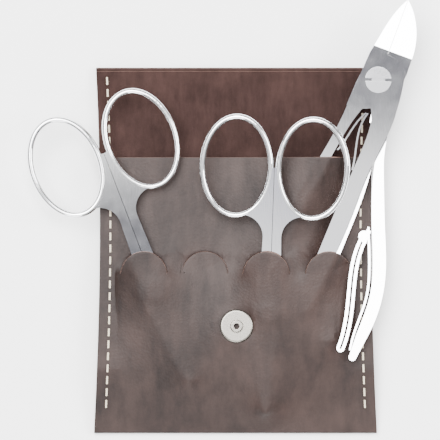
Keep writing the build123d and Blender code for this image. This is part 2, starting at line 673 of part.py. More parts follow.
with BuildPart() as nail_nipper_back:
    with BuildSketch(NAIL_NIPPER.offset(-nail_half)):
        with BuildLine():
            Spline(
                (PARTING_GAP, NIPPER_LENGTH), (2.2, 23.2), (5.1, 18.6), (6.9, 12.9), (7.3, 7.5), (7.4, 4.0)
            )
            Line((7.4, 4.0), (PARTING_GAP, 4.0))
            Line((PARTING_GAP, 4.0), (PARTING_GAP, NIPPER_LENGTH))
        make_face()
    extrude(amount=NIPPER_THICKNESS)
    with BuildSketch(NAIL_NIPPER):
        Circle(NIPPER_LAP_RADIUS + PARTING_GAP)
    extrude(amount=nail_half, mode=Mode.SUBTRACT)
    with BuildSketch(NAIL_NIPPER.offset(-nail_half)):
        with BuildLine():
            Polyline((7.4, 4.0), (7.0, -3.0), (4.0, -7.4))
            Polyline((4.0, -7.4), (-0.7, -9.6), (-6.2, -10.4), (-5.9, -3.0), (-5.2, 4.0), (-4.0, 7.0))
            ThreePointArc((-4.0, 7.0), (-2.0, 7.9), (PARTING_GAP, 8.1))
            Line((PARTING_GAP, 8.1), (7.4, 4.0))
        make_face()
    extrude(amount=nail_half - LAP_GAP / 2)
    with BuildSketch(NAIL_NIPPER.offset(-nail_half)):
        with BuildLine():
            Spline(
                (-6.0, -6.0), (-6.2, -14.5), (-8.0, -27.0), (-10.6, -42.0), (-11.2, -55.0), (-9.6, -68.0)
            )
            ThreePointArc((-9.6, -68.0), (-8.4, -70.0), (-7.0, -68.0))
            Spline((-7.0, -68.0), (-8.4, -55.0), (-7.9, -42.0), (-5.1, -27.0), (-3.2, -16.0), (-0.6, -8.0))
            Line((-0.6, -8.0), (-6.0, -6.0))
        make_face()
    extrude(amount=BACK_HANDLE_THICKNESS)
    add(nipper_profile, mode=Mode.INTERSECT)
    with BuildSketch(NAIL_NIPPER.offset(-nail_half)):
        Circle(NIPPER_SHAFT_RADIUS + PIVOT_CLEARANCE)
    extrude(amount=NIPPER_THICKNESS, mode=Mode.SUBTRACT)
nail_nipper_back.part.label = "nail_nipper_back_half"

with BuildPart() as nail_nipper_screw:
    with BuildSketch(NAIL_NIPPER.offset(-nail_half)):
        Circle(NIPPER_SHAFT_RADIUS)
    extrude(amount=NIPPER_THICKNESS)
    with BuildSketch(NAIL_NIPPER.offset(nail_half)):
        Circle(NIPPER_SCREW_RADIUS)
    extrude(amount=NIPPER_SLOT_DEPTH)
    with BuildSketch(NAIL_NIPPER.offset(nail_half)):
        Rectangle(2.2 * NIPPER_SCREW_RADIUS, NIPPER_SLOT_WIDTH, rotation=NIPPER_SLOT_TURN)
    extrude(amount=NIPPER_SLOT_DEPTH, mode=Mode.SUBTRACT)
nail_nipper_screw.part.label = "nail_nipper_screw"


def leaf_spring(tool, low_z, width, thickness, points, label):
    """Thin strip of spring steel, standing on edge along the points."""
    with BuildPart() as spring:
        with BuildSketch(on_plane(tool, 0, 0, low_z)):
            with BuildLine():
                Spline(*points)
                Spline(*[(x + thickness, y) for x, y in points])
                Line(points[0], (points[0][0] + thickness, points[0][1]))
                Line(points[-1], (points[-1][0] + thickness, points[-1][1]))
            make_face()
        extrude(amount=width)
    spring.part.label = label
    return spring.part


tools += [
    nail_nipper_front.part,
    nail_nipper_back.part,
    nail_nipper_screw.part,
    leaf_spring(
        NAIL_NIPPER, 0.3, NIPPER_SPRING_WIDTH, NIPPER_SPRING_THICKNESS,
        ((1.95, -28.0), (0.6, -21.0), (-0.3, -15.0), (0.4, -10.5)), "nail_nipper_front_spring",
    ),
    leaf_spring(
        NAIL_NIPPER, -2.9, NIPPER_SPRING_WIDTH, NIPPER_SPRING_THICKNESS,
        ((-4.2, -24.0), (-2.7, -18.5), (-1.6, -14.0), (0.0, -10.6)), "nail_nipper_back_spring",
    ),
]

# Cuticle nipper --------------------------------------------------------------------------------------

cuticle_half = CUTICLE_THICKNESS / 2
handle_low = -CUTICLE_HANDLE_THICKNESS / 2
OUTER_LINE = (
    (3.3, -2.0), (2.6, -8.0), (2.7, -14.0), (3.9, -21.2), (6.8, -35.4), (9.1, -46.2), (9.8, -54.0),
    (9.2, -61.5), (7.6, -68.0),
)
INNER_LINE = (
    (4.2, -68.0), (5.3, -62.5), (6.0, -57.0), (5.7, -50.0), (3.5, -38.5), (1.0, -25.0), (0.4, -13.0),
)
CUTICLE_JAW = ((-PARTING_GAP, 3.0), (-PARTING_GAP, CUTICLE_LENGTH), (-1.6, 16.0), (-3.0, 8.0), (-3.4, 3.0))
CUTICLE_LAP = ((-3.4, 4.2), (-3.4, -2.6), (-1.2, -5.0), (3.4, -5.0), (3.4, 3.6), (0.6, 5.1), (-0.9, 5.1))


def cuticle_half_part(side, level, tip_y, label):
    """One half of the cuticle nipper. side is where its handle is, level -1 for the lower lap."""
    s = side
    with BuildPart() as half:
        with BuildSketch(on_plane(CUTICLE_NIPPER, 0, 0, handle_low)):
            with BuildLine():
                Spline(*[(s * x, y) for x, y in OUTER_LINE])
                Line((s * 7.6, -68.0), (s * 5.2, tip_y + 0.8))
                ThreePointArc((s * 5.2, tip_y + 0.8), (s * 3.6, tip_y + 0.3), (s * 3.2, tip_y + 1.8))
                Line((s * 3.2, tip_y + 1.8), (s * 4.2, -68.0))
                Spline(*[(s * x, y) for x, y in INNER_LINE])
                Line((s * 0.4, -13.0), (s * PARTING_GAP, -2.0))
                Line((s * PARTING_GAP, -2.0), (s * 3.3, -2.0))
            make_face()
        extrude(amount=CUTICLE_HANDLE_THICKNESS)
        with BuildSketch(CUTICLE_NIPPER.offset(-cuticle_half)):
            with BuildLine():
                Polyline(*[(s * x, y) for x, y in CUTICLE_JAW], close=True)
            make_face()
        extrude(amount=CUTICLE_THICKNESS)
        with BuildSketch(CUTICLE_NIPPER if level < 0 else CUTICLE_NIPPER.offset(-cuticle_half)):
            Circle(CUTICLE_LAP_RADIUS + PARTING_GAP)
        extrude(amount=cuticle_half, mode=Mode.SUBTRACT)
        with BuildSketch(CUTICLE_NIPPER.offset(-cuticle_half if level < 0 else LAP_GAP / 2)):
            with BuildLine():
                Polyline(*[(s * x, y) for x, y in CUTICLE_LAP], close=True)
            make_face()
        extrude(amount=cuticle_half - LAP_GAP / 2)
        with BuildSketch(side_plane(CUTICLE_NIPPER)):
            with BuildLine():
                taper_y = CUTICLE_LAP_RADIUS + 1
                upper = [(-90.0, cuticle_half), (taper_y, cuticle_half), (CUTICLE_LENGTH + 1, 0.6)]
                Polyline(*upper, *[(y, -z) for y, z in reversed(upper)], close=True)
            make_face()
        extrude(amount=2 * SIDE_REACH, mode=Mode.INTERSECT)
        with BuildSketch(CUTICLE_NIPPER.offset(-cuticle_half)):
            Circle(CUTICLE_SHAFT_RADIUS + PIVOT_CLEARANCE)
        extrude(amount=CUTICLE_THICKNESS, mode=Mode.SUBTRACT)
    half.part.label = label
    return half.part


with BuildPart() as clasp_strip:
    with BuildSketch(on_plane(CUTICLE_NIPPER, 0, 0, -CLASP_STRIP_WIDTH / 2)):
        with BuildLine():
            Spline((2.2, -36.0), (5.0, -50.0), (5.35, -57.0), (4.6, -62.5), (3.35, -73.3))
            Line((3.35, -73.3), (2.8, -73.3))
            Spline((2.8, -73.3), (4.0, -62.5), (4.75, -57.0), (4.35, -50.0), (1.6, -36.0))
            Line((1.6, -36.0), (2.2, -36.0))
        make_face()
        with Locations(CLASP_BOSS):
            Circle(CLASP_BOSS_RADIUS)
        with Locations((1.8, -38.9)):
            Rectangle(1.4, 4.0, rotation=-12)
        with Locations(CLASP_BOSS):
            Circle(CLASP_RIVET_RADIUS + PIVOT_CLEARANCE, mode=Mode.SUBTRACT)
    extrude(amount=CLASP_STRIP_WIDTH)
clasp_strip.part.label = "clasp_strip"

boss_plane = on_plane(CUTICLE_NIPPER, *CLASP_BOSS)
eye_low = CLASP_STRIP_WIDTH / 2 + SEAT_CLEARANCE

with BuildPart() as clasp_rivet:
    with BuildSketch(boss_plane.offset(-CLASP_STRIP_WIDTH / 2 - CLASP_RIVET_HEAD_HEIGHT)):
        Circle(CLASP_RIVET_HEAD_RADIUS)
    extrude(amount=CLASP_RIVET_HEAD_HEIGHT)
    with BuildSketch(boss_plane.offset(-CLASP_STRIP_WIDTH / 2)):
        Circle(CLASP_RIVET_RADIUS)
    extrude(amount=CLASP_STRIP_WIDTH + CLASP_EYE_THICKNESS + 2 * SEAT_CLEARANCE)
    with BuildSketch(boss_plane.offset(eye_low + CLASP_EYE_THICKNESS + SEAT_CLEARANCE)):
        Circle(CLASP_RIVET_HEAD_RADIUS)
    extrude(amount=CLASP_RIVET_HEAD_HEIGHT)
clasp_rivet.part.label = "clasp_rivet"

bow_level = on_plane(CUTICLE_NIPPER, 0, 0, eye_low + CLASP_WIRE_RADIUS)
BOW_LINE = ((1.0, -40.1), (-0.1, -50.0), (0.5, -58.0), (0.9, -66.0), (0.2, -73.2))

with BuildPart() as clasp_bow:
    with BuildSketch(bow_level.offset(-CLASP_WIRE_RADIUS)):
        for half_gap, use in (
            (CLASP_WIRE_SPACING / 2 + CLASP_WIRE_RADIUS, Mode.ADD),
            (CLASP_WIRE_SPACING / 2 - CLASP_WIRE_RADIUS, Mode.SUBTRACT),
        ):
            (start_x, start_y), (end_x, end_y) = BOW_LINE[0], BOW_LINE[-1]
            with BuildLine():
                Spline(*[(x - half_gap, y) for x, y in BOW_LINE])
                ThreePointArc(
                    (end_x - half_gap, end_y), (end_x, end_y - half_gap), (end_x + half_gap, end_y)
                )
                Spline(*[(x + half_gap, y) for x, y in reversed(BOW_LINE)])
                Line((start_x + half_gap, start_y), (start_x - half_gap, start_y))
            make_face(mode=use)
    extrude(amount=2 * CLASP_WIRE_RADIUS)
    with BuildSketch(boss_plane.offset(eye_low)):
        Circle(CLASP_EYE_RADIUS)
        Circle(CLASP_RIVET_RADIUS + PIVOT_CLEARANCE, mode=Mode.SUBTRACT)
    extrude(amount=CLASP_EYE_THICKNESS)
clasp_bow.part.label = "clasp_bow"

tools += [
    cuticle_half_part(-1, -1, -72.0, "cuticle_nipper_inner_half"),
    cuticle_half_part(1, 1, -76.5, "cuticle_nipper_outer_half"),
    pivot_screw(
        CUTICLE_NIPPER, CUTICLE_THICKNESS, CUTICLE_SHAFT_RADIUS, CUTICLE_SCREW_RADIUS, CUTICLE_SCREW_HEIGHT,
        "cuticle_nipper_screw",
    ),
    clasp_strip.part,
    clasp_rivet.part,
    clasp_bow.part,
]

# Files -----------------------------------------------------------------------------------------------

case_builders = (
    back_panel, front_panel, top_fold, flap_leather,
    snap_cap, snap_socket, socket_spring, snap_stud, snap_post,
)
pieces = [*(builder.part for builder in case_builders), left_seam_thread, right_seam_thread, *tools]

# The frame's origin is on the table, under the middle of everything
whole = Compound(children=[copy.copy(piece) for piece in pieces]).bounding_box()
to_origin = Location((-whole.center().X, -whole.center().Y, -whole.min.Z))

os.makedirs("parts", exist_ok=True)
for piece in pieces:
    export_step(piece.moved(to_origin), f"parts/{piece.label}.step")
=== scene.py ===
"""A leather manicure case with its scissors and nippers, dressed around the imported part."""

from __future__ import annotations

import json
import logging
import math
from dataclasses import dataclass, field
from enum import Enum
from typing import Callable, Iterable

import bpy
import numpy as np
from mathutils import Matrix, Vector
from mathutils.bvhtree import BVHTree

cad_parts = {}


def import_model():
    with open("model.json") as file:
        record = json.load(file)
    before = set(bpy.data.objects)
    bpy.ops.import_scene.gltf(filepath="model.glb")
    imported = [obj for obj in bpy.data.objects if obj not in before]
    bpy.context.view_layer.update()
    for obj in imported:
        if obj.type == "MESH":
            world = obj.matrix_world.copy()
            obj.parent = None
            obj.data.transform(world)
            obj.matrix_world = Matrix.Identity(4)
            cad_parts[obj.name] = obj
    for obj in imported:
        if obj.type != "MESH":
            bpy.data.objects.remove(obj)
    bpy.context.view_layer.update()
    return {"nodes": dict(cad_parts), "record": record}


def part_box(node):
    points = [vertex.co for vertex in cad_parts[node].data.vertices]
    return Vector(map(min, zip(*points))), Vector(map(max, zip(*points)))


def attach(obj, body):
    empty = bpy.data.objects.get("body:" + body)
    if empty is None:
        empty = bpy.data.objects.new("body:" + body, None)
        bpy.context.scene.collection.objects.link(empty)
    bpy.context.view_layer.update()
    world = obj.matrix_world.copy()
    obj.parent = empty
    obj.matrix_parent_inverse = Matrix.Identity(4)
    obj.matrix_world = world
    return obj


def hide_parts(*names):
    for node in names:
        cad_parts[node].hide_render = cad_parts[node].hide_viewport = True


log = logging.getLogger("manicure_case")

MM = 0.001
LEATHER = 1.1 * MM
TOP_FOLD_Y = 54.5 * MM
BOTTOM_FOLD_Y = -53.4 * MM
MOUTH_Y = 28.6 * MM
SLIT_Y = -6.6 * MM
TONGUE_RADIUS = 6.9 * MM
TONGUE_CENTRES = (-27.5 * MM, -9.15 * MM, 9.2 * MM, 27.9 * MM)
SEAM_X = 35.6 * MM
SNAP_PLACE = (0.3 * MM, -22.0 * MM)
SEWN_GAP = 0.1 * MM  # between the two leathers where they are sewn
TOOL_REACH = 0.9 * MM  # how far around a place the leather feels for a tool
START_LIFT = 0.8 * MM  # how far above the seams the front leather starts before it settles
SNAP_SEAT_RADIUS = 5.2 * MM
SEAM_START_X = 34.9 * MM  # inside this, the case's narrowing doesn't move the leather
HORIZON_TONES = ((0.32, 0.06), (0.45, 0.3), (0.62, 0.55), (0.8, 0.95))
OVERHEAD_TONES = (
    (0.045, 1.0), (0.07, 0.12), (0.13, 0.16), (0.17, 1.0), (0.45, 0.9), (0.72, 0.3), (0.9, 0.6),
)
CREASES = ((-14.2, 0.22, 0.9, 0.03), (23.8, 0.28, 1.1, -0.05), (4.0, 0.1, 3.0, 0.02))


class LeatherSide(Enum):
    """The two sides of the strip that the case is folded from."""

    GRAIN = "grain"
    FLESH = "flesh"


# Small helpers ---------------------------------------------------------------------------------


def deselect_all() -> None:
    """Leaves edit mode and clears the selection."""
    if bpy.context.object and bpy.context.object.mode != "OBJECT":
        bpy.ops.object.mode_set(mode="OBJECT")
    bpy.ops.object.select_all(action="DESELECT")


def make_active(obj: bpy.types.Object) -> None:
    """Selects one object alone and makes it the active one.

    Args:
        obj: The object to work on.
    """
    deselect_all()
    obj.select_set(True)
    bpy.context.view_layer.objects.active = obj


def apply_modifiers(obj: bpy.types.Object) -> None:
    """Applies every modifier of an object in order.

    Args:
        obj: The object whose modifiers become mesh.
    """
    make_active(obj)
    for modifier in list(obj.modifiers):
        bpy.ops.object.modifier_apply(modifier=modifier.name)


def settle(obj: bpy.types.Object, smooth_angle: float = 40.0) -> None:
    """Puts an object's place into its mesh and shades it smooth below an angle.

    Args:
        obj: The finished piece.
        smooth_angle: Edges sharper than this, in degrees, stay sharp.
    """
    make_active(obj)
    bpy.ops.object.transform_apply(location=True, rotation=True, scale=True)
    bpy.ops.object.shade_smooth_by_angle(angle=math.radians(smooth_angle))


def coordinates(obj: bpy.types.Object) -> np.ndarray:
    """Returns an object's vertex places as an N by 3 array."""
    flat = np.empty(len(obj.data.vertices) * 3)
    obj.data.vertices.foreach_get("co", flat)
    return flat.reshape(-1, 3)


def set_coordinates(obj: bpy.types.Object, places: np.ndarray) -> None:
    """Moves an object's vertices to the given places."""
    obj.data.vertices.foreach_set("co", places.astype(float).ravel())
    obj.data.update()


def smooth_step(value: np.ndarray | float, low: float, high: float) -> np.ndarray | float:
    """Rises smoothly from 0 at low to 1 at high."""
    share = np.clip((value - low) / (high - low), 0.0, 1.0)
    return share * share * (3.0 - 2.0 * share)


# Materials -------------------------------------------------------------------------------------


def new_group(name: str, inputs: dict[str, float], outputs: dict[str, str]) -> bpy.types.NodeTree:
    """Makes an empty shader node group with float inputs.

    Args:
        name: The group's name.
        inputs: Input names with their default values.
        outputs: Output names with their socket types.

    Returns:
        The new node tree, with its input and output nodes.
    """
    tree = bpy.data.node_groups.new(name, "ShaderNodeTree")
    for label, default in inputs.items():
        socket = tree.interface.new_socket(name=label, in_out="INPUT", socket_type="NodeSocketFloat")
        socket.default_value = default
    for label, kind in outputs.items():
        tree.interface.new_socket(name=label, in_out="OUTPUT", socket_type=kind)
    tree.nodes.new("NodeGroupInput")
    tree.nodes.new("NodeGroupOutput")
    return tree


def wire(tree: bpy.types.NodeTree, *links: tuple) -> None:
    """Links sockets of a node tree, each link as (from socket, to socket)."""
    for source, target in links:
        tree.links.new(source, target)


@dataclass(frozen=True)
class Mottling:
    """Uneven colour of oiled leather: broad clouds, streaks and small flecks, as one mask."""

    name: str = "leather_mottling"

    def build(self) -> bpy.types.NodeTree:
        """Builds the node group and returns it."""
        tree = new_group(
            self.name,
            {"Cloud Size": 45.0, "Streak Size": 220.0, "Fleck Size": 1500.0},
            {"Mask": "NodeSocketFloat", "Flecks": "NodeSocketFloat"},
        )
        nodes = tree.nodes
        source, sink = nodes["Group Input"], nodes["Group Output"]
        place = nodes.new("ShaderNodeTexCoord")
        stretch = nodes.new("ShaderNodeMapping")
        stretch.inputs["Scale"].default_value = (1.0, 0.28, 1.0)
        stretch.inputs["Rotation"].default_value = (0.0, 0.0, 0.35)
        clouds = nodes.new("ShaderNodeTexNoise")
        clouds.inputs["Detail"].default_value = 5.0
        clouds.inputs["Roughness"].default_value = 0.62
        streaks = nodes.new("ShaderNodeTexNoise")
        streaks.inputs["Detail"].default_value = 6.0
        streaks.inputs["Roughness"].default_value = 0.7
        flecks = nodes.new("ShaderNodeTexNoise")
        flecks.inputs["Detail"].default_value = 3.0
        blend = nodes.new("ShaderNodeMath")
        blend.operation = "MULTIPLY_ADD"
        blend.inputs[1].default_value = 0.45
        half = nodes.new("ShaderNodeMath")
        half.operation = "MULTIPLY"
        half.inputs[1].default_value = 0.6
        wire(
            tree,
            (place.outputs["Object"], clouds.inputs["Vector"]),
            (place.outputs["Object"], stretch.inputs["Vector"]),
            (stretch.outputs["Vector"], streaks.inputs["Vector"]),
            (place.outputs["Object"], flecks.inputs["Vector"]),
            (source.outputs["Cloud Size"], clouds.inputs["Scale"]),
            (source.outputs["Streak Size"], streaks.inputs["Scale"]),
            (source.outputs["Fleck Size"], flecks.inputs["Scale"]),
            (clouds.outputs["Fac"], half.inputs[0]),
            (streaks.outputs["Fac"], blend.inputs[0]),
            (half.outputs["Value"], blend.inputs[2]),
            (blend.outputs["Value"], sink.inputs["Mask"]),
            (flecks.outputs["Fac"], sink.inputs["Flecks"]),
        )
        return tree


@dataclass(frozen=True)
class HandlingMarks:
    """Very fine scratches and smudges that polished metal picks up, as a roughness value."""

    name: str = "handling_marks"

    def build(self) -> bpy.types.NodeTree:
        """Builds the node group and returns it."""
        tree = new_group(
            self.name,
            {"Base Roughness": 0.08, "Spread": 0.1, "Mark Size": 260.0},
            {"Roughness": "NodeSocketFloat", "Height": "NodeSocketFloat"},
        )
        nodes = tree.nodes
        source, sink = nodes["Group Input"], nodes["Group Output"]
        place = nodes.new("ShaderNodeTexCoord")
        smudge = nodes.new("ShaderNodeTexNoise")
        smudge.inputs["Detail"].default_value = 4.0
        scratch_map = nodes.new("ShaderNodeMapping")
        scratch_map.inputs["Scale"].default_value = (9.0, 0.6, 9.0)
        scratch_map.inputs["Rotation"].default_value = (0.0, 0.0, 0.6)
        scratch = nodes.new("ShaderNodeTexNoise")
        scratch.inputs["Detail"].default_value = 2.0
        scale = nodes.new("ShaderNodeMath")
        scale.operation = "MULTIPLY_ADD"
        wire(
            tree,
            (place.outputs["Object"], smudge.inputs["Vector"]),
            (place.outputs["Object"], scratch_map.inputs["Vector"]),
            (scratch_map.outputs["Vector"], scratch.inputs["Vector"]),
            (source.outputs["Mark Size"], smudge.inputs["Scale"]),
            (source.outputs["Mark Size"], scratch.inputs["Scale"]),
            (smudge.outputs["Fac"], scale.inputs[0]),
            (source.outputs["Spread"], scale.inputs[1]),
            (source.outputs["Base Roughness"], scale.inputs[2]),
            (scale.outputs["Value"], sink.inputs["Roughness"]),
            (scratch.outputs["Fac"], sink.inputs["Height"]),
        )
        return tree


@dataclass(frozen=True)
class LeatherLook:
    """What one side of the leather looks like.

    Args:
        name: The material's name.
        dark: Colour of the darkest clouds.
        light: Colour of the rubbed, lighter places.
        roughness: Mean roughness.
        bump: Height of the grain in metres.
        grain_size: Scale of the grain pattern.
        side: Which side of the leather it is.
    """

    name: str
    dark: tuple[float, float, float]
    light: tuple[float, float, float]
    roughness: float
    bump: float
    grain_size: float
    side: LeatherSide


@dataclass(frozen=True)
class MetalLook:
    """What one metal looks like.

    Args:
        name: The material's name.
        colour: Reflection colour.
        roughness: Lowest roughness.
        spread: How much the handling marks add to it.
        bump: Height of the fine scratches in metres.
    """

    name: str
    colour: tuple[float, float, float]
    roughness: float
    spread: float
    bump: float


GRAIN_SIDE = LeatherLook(
    "oiled_grain", (0.008, 0.0042, 0.0036), (0.033, 0.0195, 0.0165), 0.55, 0.00012, 1400.0, LeatherSide.GRAIN
)
FLESH_SIDE = LeatherLook(
    "flesh_side", (0.013, 0.0066, 0.0058), (0.034, 0.0178, 0.0155), 0.9, 0.0002, 2500.0, LeatherSide.FLESH
)
# The cut edge's lighter brown is partly the raw edge's own tone and partly painted highlight along the rims.
CUT_EDGE_WITH_PAINTED_HIGHLIGHT = LeatherLook(
    "cut_edge", (0.07, 0.04, 0.034), (0.13, 0.085, 0.07), 0.8, 0.0001, 2500.0, LeatherSide.FLESH
)
MIRROR_STEEL = MetalLook("mirror_steel", (0.84, 0.84, 0.85), 0.03, 0.06, 0.00001)
SCREW_STEEL = MetalLook("screw_steel", (0.3, 0.3, 0.31), 0.2, 0.2, 0.00002)
SATIN_NICKEL = MetalLook("satin_nickel", (0.24, 0.225, 0.2), 0.26, 0.15, 0.00003)


class Finishes:
    """Every finish of the set, each made once and handed out by name."""

    def __init__(self) -> None:
        self.mottling = Mottling().build()
        self.marks = HandlingMarks().build()

    @staticmethod
    def _blank(name: str) -> tuple[bpy.types.Material, bpy.types.NodeTree, bpy.types.Node]:
        """Returns a new material, its tree and its Principled shader."""
        material = bpy.data.materials.new(name)
        material.use_nodes = True
        return material, material.node_tree, material.node_tree.nodes["Principled BSDF"]

    def leather(self, look: LeatherLook) -> bpy.types.Material:
        """Makes a leather finish with mottled colour and a pebbled or napped surface.

        Args:
            look: Its colours, roughness and grain.

        Returns:
            The material.
        """
        flesh = look.side is LeatherSide.FLESH
        material, tree, shader = self._blank(look.name)
        nodes = tree.nodes
        mottling = nodes.new("ShaderNodeGroup")
        mottling.node_tree = self.mottling
        mottling.inputs["Cloud Size"].default_value = 60.0 if flesh else 42.0
        mottling.inputs["Streak Size"].default_value = 500.0 if flesh else 240.0
        ramp = nodes.new("ShaderNodeValToRGB")
        ramp.color_ramp.elements[0].position = 0.36
        ramp.color_ramp.elements[0].color = (*look.dark, 1.0)
        ramp.color_ramp.elements[1].position = 0.68
        ramp.color_ramp.elements[1].color = (*look.light, 1.0)
        place = nodes.new("ShaderNodeTexCoord")
        grain = nodes.new("ShaderNodeTexNoise" if flesh else "ShaderNodeTexVoronoi")
        grain.inputs["Scale"].default_value = look.grain_size
        if flesh:
            grain.inputs["Detail"].default_value = 5.0
        height = grain.outputs["Fac"] if flesh else grain.outputs["Distance"]
        fine = nodes.new("ShaderNodeTexNoise")
        fine.inputs["Scale"].default_value = look.grain_size * 0.35
        fine.inputs["Detail"].default_value = 6.0
        total = nodes.new("ShaderNodeMath")
        total.operation = "MULTIPLY_ADD"
        total.inputs[1].default_value = 0.55
        bumps = nodes.new("ShaderNodeBump")
        bumps.inputs["Strength"].default_value = 0.6
        bumps.inputs["Distance"].default_value = look.bump
        gloss = nodes.new("ShaderNodeMath")
        gloss.operation = "MULTIPLY_ADD"
        gloss.inputs[1].default_value = -0.22
        gloss.inputs[2].default_value = look.roughness + 0.11
        wire(
            tree,
            (mottling.outputs["Mask"], ramp.inputs["Fac"]),
            (ramp.outputs["Color"], shader.inputs["Base Color"]),
            (place.outputs["Object"], grain.inputs["Vector"]),
            (place.outputs["Object"], fine.inputs["Vector"]),
            (height, total.inputs[0]),
            (fine.outputs["Fac"], total.inputs[2]),
            (total.outputs["Value"], bumps.inputs["Height"]),
            (bumps.outputs["Normal"], shader.inputs["Normal"]),
            (mottling.outputs["Mask"], gloss.inputs[0]),
            (gloss.outputs["Value"], shader.inputs["Roughness"]),
        )
        if flesh:
            shader.inputs["Sheen Weight"].default_value = 0.35
            shader.inputs["Sheen Roughness"].default_value = 0.5
            shader.inputs["Sheen Tint"].default_value = (0.6, 0.36, 0.3, 1.0)
            shader.inputs["Specular IOR Level"].default_value = 0.1
        else:
            shader.inputs["Specular IOR Level"].default_value = 0.24
        return material

    def steel(self, look: MetalLook) -> bpy.types.Material:
        """Makes a metal finish with handling marks.

        Args:
            look: Its colour and roughness.

        Returns:
            The material.
        """
        material, tree, shader = self._blank(look.name)
        marks = tree.nodes.new("ShaderNodeGroup")
        marks.node_tree = self.marks
        marks.inputs["Base Roughness"].default_value = look.roughness
        marks.inputs["Spread"].default_value = look.spread
        bumps = tree.nodes.new("ShaderNodeBump")
        bumps.inputs["Strength"].default_value = 0.25
        bumps.inputs["Distance"].default_value = look.bump
        tint = tree.nodes.new("ShaderNodeMixRGB")
        tint.inputs["Color1"].default_value = (*look.colour, 1.0)
        tint.inputs["Color2"].default_value = (*(0.93 * c for c in look.colour), 1.0)
        shader.inputs["Metallic"].default_value = 1.0
        wire(
            tree,
            (marks.outputs["Roughness"], shader.inputs["Roughness"]),
            (marks.outputs["Height"], bumps.inputs["Height"]),
            (bumps.outputs["Normal"], shader.inputs["Normal"]),
            (marks.outputs["Height"], tint.inputs["Fac"]),
            (tint.outputs["Color"], shader.inputs["Base Color"]),
        )
        return material

    def thread(self) -> bpy.types.Material:
        """Makes the cream waxed thread of the seams, with the lay of its two plies and painted shade in the
        grooves between them.
        """
        material, tree, shader = self._blank("cream_thread")
        nodes = tree.nodes
        place = nodes.new("ShaderNodeTexCoord")
        plies = nodes.new("ShaderNodeTexWave")
        plies.inputs["Scale"].default_value = 900.0
        plies.inputs["Distortion"].default_value = 1.5
        turn = nodes.new("ShaderNodeMapping")
        turn.inputs["Rotation"].default_value = (0.0, 0.0, 0.7)
        # The plies' wave darkens the colour where the bump sinks: painted shade in the grooves.
        tone = nodes.new("ShaderNodeValToRGB")
        tone.color_ramp.elements[0].color = (0.48, 0.39, 0.27, 1.0)
        tone.color_ramp.elements[1].color = (0.8, 0.72, 0.58, 1.0)
        bumps = nodes.new("ShaderNodeBump")
        bumps.inputs["Distance"].default_value = 0.00008
        wire(
            tree,
            (place.outputs["Object"], turn.inputs["Vector"]),
            (turn.outputs["Vector"], plies.inputs["Vector"]),
            (plies.outputs["Fac"], tone.inputs["Fac"]),
            (tone.outputs["Color"], shader.inputs["Base Color"]),
            (plies.outputs["Fac"], bumps.inputs["Height"]),
            (bumps.outputs["Normal"], shader.inputs["Normal"]),
        )
        shader.inputs["Roughness"].default_value = 0.75
        return material

    def paper(self) -> bpy.types.Material:
        """Makes the plain pale floor."""
        material, tree, shader = self._blank("pale_floor")
        nodes = tree.nodes
        tooth = nodes.new("ShaderNodeTexNoise")
        tooth.inputs["Scale"].default_value = 40.0
        tone = nodes.new("ShaderNodeValToRGB")
        tone.color_ramp.elements[0].color = (0.98, 0.98, 0.98, 1.0)
        tone.color_ramp.elements[1].color = (1.0, 1.0, 1.0, 1.0)
        wire(
            tree,
            (tooth.outputs["Fac"], tone.inputs["Fac"]),
            (tone.outputs["Color"], shader.inputs["Base Color"]),
        )
        shader.inputs["Roughness"].default_value = 0.9
        shader.inputs["Specular IOR Level"].default_value = 0.1
        return material


# Studio ----------------------------------------------------------------------------------------


